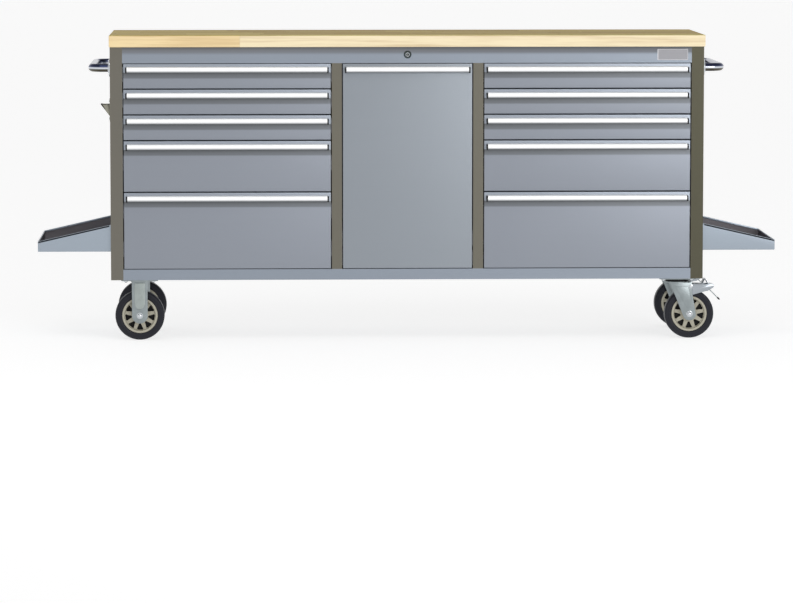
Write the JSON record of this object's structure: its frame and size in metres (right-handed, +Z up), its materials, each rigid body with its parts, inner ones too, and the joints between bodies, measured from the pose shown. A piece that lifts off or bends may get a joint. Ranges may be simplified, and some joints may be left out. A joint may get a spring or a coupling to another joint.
{
  "type": "mobile workbench with drawers",
  "caption": "Rolling steel workbench with a wooden top, two banks of drawers, a tall pull-out between them, end trays, push handles and braked casters.",
  "frame": {"origin": "on the floor, under the middle of the bench's overall outline", "axes": "+X along the bench to the right as seen from the drawers, +Y from the drawers to the back, +Z up"},
  "size_m": [2.276, 0.48, 0.942],
  "materials": {
    "worktop_wood": "oiled",
    "body_steel": "satin",
    "front_steel": "satin",
    "cabinet_paint": "matte",
    "drawer_paint": "satin",
    "slide_zinc": "satin",
    "polished_steel": "polished",
    "badge_steel": "satin",
    "lock_chrome": "polished",
    "caster_zinc": "satin",
    "wheel_rubber": "matte",
    "bin_plastic": "gloss"
  },
  "bodies": {
    "cabinet": {"worktop": "worktop_wood", "side_panels": "body_steel", "back_panel": "cabinet_paint", "base_pan": "cabinet_paint", "front_frame": "body_steel", "partitions": "body_steel", "top_braces": "cabinet_paint", "cabinet_slide_rails": "slide_zinc", "push_handles": "polished_steel", "bottle_opener": "polished_steel", "side_trays": "body_steel", "badge_plate": "badge_steel", "lock_barrel": "lock_chrome", "rigid_caster_forks": "caster_zinc", "swivel_caster_plates": "caster_zinc"},
    "left_drawer_1": {"left_drawer_1_front": "front_steel", "left_drawer_1_box": "drawer_paint"},
    "left_drawer_1_rails": {"left_drawer_1_slides": "slide_zinc"},
    "left_drawer_2": {"left_drawer_2_front": "front_steel", "left_drawer_2_box": "drawer_paint"},
    "left_drawer_2_rails": {"left_drawer_2_slides": "slide_zinc"},
    "left_drawer_3": {"left_drawer_3_front": "front_steel", "left_drawer_3_box": "drawer_paint"},
    "left_drawer_3_rails": {"left_drawer_3_slides": "slide_zinc"},
    "left_drawer_4": {"left_drawer_4_front": "front_steel", "left_drawer_4_box": "drawer_paint"},
    "left_drawer_4_rails": {"left_drawer_4_slides": "slide_zinc"},
    "left_drawer_5": {"left_drawer_5_front": "front_steel", "left_drawer_5_box": "drawer_paint"},
    "left_drawer_5_rails": {"left_drawer_5_slides": "slide_zinc"},
    "right_drawer_1": {"right_drawer_1_front": "front_steel", "right_drawer_1_box": "drawer_paint"},
    "right_drawer_1_rails": {"right_drawer_1_slides": "slide_zinc"},
    "right_drawer_2": {"right_drawer_2_front": "front_steel", "right_drawer_2_box": "drawer_paint"},
    "right_drawer_2_rails": {"right_drawer_2_slides": "slide_zinc"},
    "right_drawer_3": {"right_drawer_3_front": "front_steel", "right_drawer_3_box": "drawer_paint"},
    "right_drawer_3_rails": {"right_drawer_3_slides": "slide_zinc"},
    "right_drawer_4": {"right_drawer_4_front": "front_steel", "right_drawer_4_box": "drawer_paint"},
    "right_drawer_4_rails": {"right_drawer_4_slides": "slide_zinc"},
    "right_drawer_5": {"right_drawer_5_front": "front_steel", "right_drawer_5_box": "drawer_paint"},
    "right_drawer_5_rails": {"right_drawer_5_slides": "slide_zinc"},
    "pull_out": {"pullout_front": "front_steel", "pullout_carcass": "drawer_paint", "pullout_shelf": "drawer_paint", "pullout_bins": "bin_plastic"},
    "pull_out_rails": {"pullout_slides": "slide_zinc"},
    "front_left_wheel": {"front_left_wheel": "wheel_rubber"},
    "front_right_fork": {"front_swivel_fork": "caster_zinc"},
    "front_right_wheel": {"front_right_wheel": "wheel_rubber"},
    "front_brake": {"front_brake_pedal": "polished_steel"},
    "rear_left_wheel": {"rear_left_wheel": "wheel_rubber"},
    "rear_right_fork": {"rear_swivel_fork": "caster_zinc"},
    "rear_right_wheel": {"rear_right_wheel": "wheel_rubber"},
    "rear_brake": {"rear_brake_pedal": "polished_steel"},
    "lock_bars": {"lock_linkage": "slide_zinc"},
    "lock_cylinder": {"lock_cylinder": "lock_chrome"}
  },
  "joints": [
    {"name": "left_drawer_1_slide", "type": "slide", "parent": "cabinet", "child": "left_drawer_1", "axis": [0, -1, 0], "range_m": [0, 0.38]},
    {"name": "left_drawer_1_rails_slide", "type": "slide", "parent": "cabinet", "child": "left_drawer_1_rails", "axis": [0, -1, 0], "range_m": [0, 0.19]},
    {"name": "left_drawer_2_slide", "type": "slide", "parent": "cabinet", "child": "left_drawer_2", "axis": [0, -1, 0], "range_m": [0, 0.38]},
    {"name": "left_drawer_2_rails_slide", "type": "slide", "parent": "cabinet", "child": "left_drawer_2_rails", "axis": [0, -1, 0], "range_m": [0, 0.19]},
    {"name": "left_drawer_3_slide", "type": "slide", "parent": "cabinet", "child": "left_drawer_3", "axis": [0, -1, 0], "range_m": [0, 0.38]},
    {"name": "left_drawer_3_rails_slide", "type": "slide", "parent": "cabinet", "child": "left_drawer_3_rails", "axis": [0, -1, 0], "range_m": [0, 0.19]},
    {"name": "left_drawer_4_slide", "type": "slide", "parent": "cabinet", "child": "left_drawer_4", "axis": [0, -1, 0], "range_m": [0, 0.38]},
    {"name": "left_drawer_4_rails_slide", "type": "slide", "parent": "cabinet", "child": "left_drawer_4_rails", "axis": [0, -1, 0], "range_m": [0, 0.19]},
    {"name": "left_drawer_5_slide", "type": "slide", "parent": "cabinet", "child": "left_drawer_5", "axis": [0, -1, 0], "range_m": [0, 0.38]},
    {"name": "left_drawer_5_rails_slide", "type": "slide", "parent": "cabinet", "child": "left_drawer_5_rails", "axis": [0, -1, 0], "range_m": [0, 0.19]},
    {"name": "right_drawer_1_slide", "type": "slide", "parent": "cabinet", "child": "right_drawer_1", "axis": [0, -1, 0], "range_m": [0, 0.38]},
    {"name": "right_drawer_1_rails_slide", "type": "slide", "parent": "cabinet", "child": "right_drawer_1_rails", "axis": [0, -1, 0], "range_m": [0, 0.19]},
    {"name": "right_drawer_2_slide", "type": "slide", "parent": "cabinet", "child": "right_drawer_2", "axis": [0, -1, 0], "range_m": [0, 0.38]},
    {"name": "right_drawer_2_rails_slide", "type": "slide", "parent": "cabinet", "child": "right_drawer_2_rails", "axis": [0, -1, 0], "range_m": [0, 0.19]},
    {"name": "right_drawer_3_slide", "type": "slide", "parent": "cabinet", "child": "right_drawer_3", "axis": [0, -1, 0], "range_m": [0, 0.38]},
    {"name": "right_drawer_3_rails_slide", "type": "slide", "parent": "cabinet", "child": "right_drawer_3_rails", "axis": [0, -1, 0], "range_m": [0, 0.19]},
    {"name": "right_drawer_4_slide", "type": "slide", "parent": "cabinet", "child": "right_drawer_4", "axis": [0, -1, 0], "range_m": [0, 0.38]},
    {"name": "right_drawer_4_rails_slide", "type": "slide", "parent": "cabinet", "child": "right_drawer_4_rails", "axis": [0, -1, 0], "range_m": [0, 0.19]},
    {"name": "right_drawer_5_slide", "type": "slide", "parent": "cabinet", "child": "right_drawer_5", "axis": [0, -1, 0], "range_m": [0, 0.38]},
    {"name": "right_drawer_5_rails_slide", "type": "slide", "parent": "cabinet", "child": "right_drawer_5_rails", "axis": [0, -1, 0], "range_m": [0, 0.19]},
    {"name": "pull_out_slide", "type": "slide", "parent": "cabinet", "child": "pull_out", "axis": [0, -1, 0], "range_m": [0, 0.38]},
    {"name": "pull_out_rails_slide", "type": "slide", "parent": "cabinet", "child": "pull_out_rails", "axis": [0, -1, 0], "range_m": [0, 0.19]},
    {"name": "front_left_wheel_roll", "type": "hinge", "parent": "cabinet", "child": "front_left_wheel", "pos_m": [-0.826, -0.16, 0.076], "axis": [0, 1, 0], "continuous": true},
    {"name": "front_right_fork_swivel", "type": "hinge", "parent": "cabinet", "child": "front_right_fork", "pos_m": [0.838, -0.16, 0.185], "axis": [0, 0, 1], "continuous": true},
    {"name": "front_right_wheel_roll", "type": "hinge", "parent": "front_right_fork", "child": "front_right_wheel", "pos_m": [0.876, -0.16, 0.076], "axis": [0, 1, 0], "continuous": true},
    {"name": "front_brake_press", "type": "hinge", "parent": "front_right_fork", "child": "front_brake", "pos_m": [0.88, -0.16, 0.162], "axis": [0, 1, 0], "range_deg": [0, 15]},
    {"name": "rear_left_wheel_roll", "type": "hinge", "parent": "cabinet", "child": "rear_left_wheel", "pos_m": [-0.826, 0.17, 0.076], "axis": [0, 1, 0], "continuous": true},
    {"name": "rear_right_fork_swivel", "type": "hinge", "parent": "cabinet", "child": "rear_right_fork", "pos_m": [0.838, 0.17, 0.185], "axis": [0, 0, 1], "continuous": true},
    {"name": "rear_right_wheel_roll", "type": "hinge", "parent": "rear_right_fork", "child": "rear_right_wheel", "pos_m": [0.876, 0.17, 0.076], "axis": [0, 1, 0], "continuous": true},
    {"name": "rear_brake_press", "type": "hinge", "parent": "rear_right_fork", "child": "rear_brake", "pos_m": [0.88, 0.17, 0.162], "axis": [0, 1, 0], "range_deg": [0, 15]},
    {"name": "lock_bars_slide", "type": "slide", "parent": "cabinet", "child": "lock_bars", "axis": [-1, 0, 0], "range_m": [0, 0.01697]},
    {"name": "lock_turn", "type": "hinge", "parent": "cabinet", "child": "lock_cylinder", "pos_m": [0, -0.22, 0.882], "axis": [0, 1, 0], "range_deg": [0, 90]}
  ],
  "couplings": [
    {"joint": "left_drawer_1_rails_slide", "follows": "left_drawer_1_slide", "ratio": 0.5},
    {"joint": "left_drawer_2_rails_slide", "follows": "left_drawer_2_slide", "ratio": 0.5},
    {"joint": "left_drawer_3_rails_slide", "follows": "left_drawer_3_slide", "ratio": 0.5},
    {"joint": "left_drawer_4_rails_slide", "follows": "left_drawer_4_slide", "ratio": 0.5},
    {"joint": "left_drawer_5_rails_slide", "follows": "left_drawer_5_slide", "ratio": 0.5},
    {"joint": "right_drawer_1_rails_slide", "follows": "right_drawer_1_slide", "ratio": 0.5},
    {"joint": "right_drawer_2_rails_slide", "follows": "right_drawer_2_slide", "ratio": 0.5},
    {"joint": "right_drawer_3_rails_slide", "follows": "right_drawer_3_slide", "ratio": 0.5},
    {"joint": "right_drawer_4_rails_slide", "follows": "right_drawer_4_slide", "ratio": 0.5},
    {"joint": "right_drawer_5_rails_slide", "follows": "right_drawer_5_slide", "ratio": 0.5},
    {"joint": "pull_out_rails_slide", "follows": "pull_out_slide", "ratio": 0.5},
    {"joint": "lock_turn", "follows": "lock_bars_slide", "rad_per_m": 92.562}
  ]
}
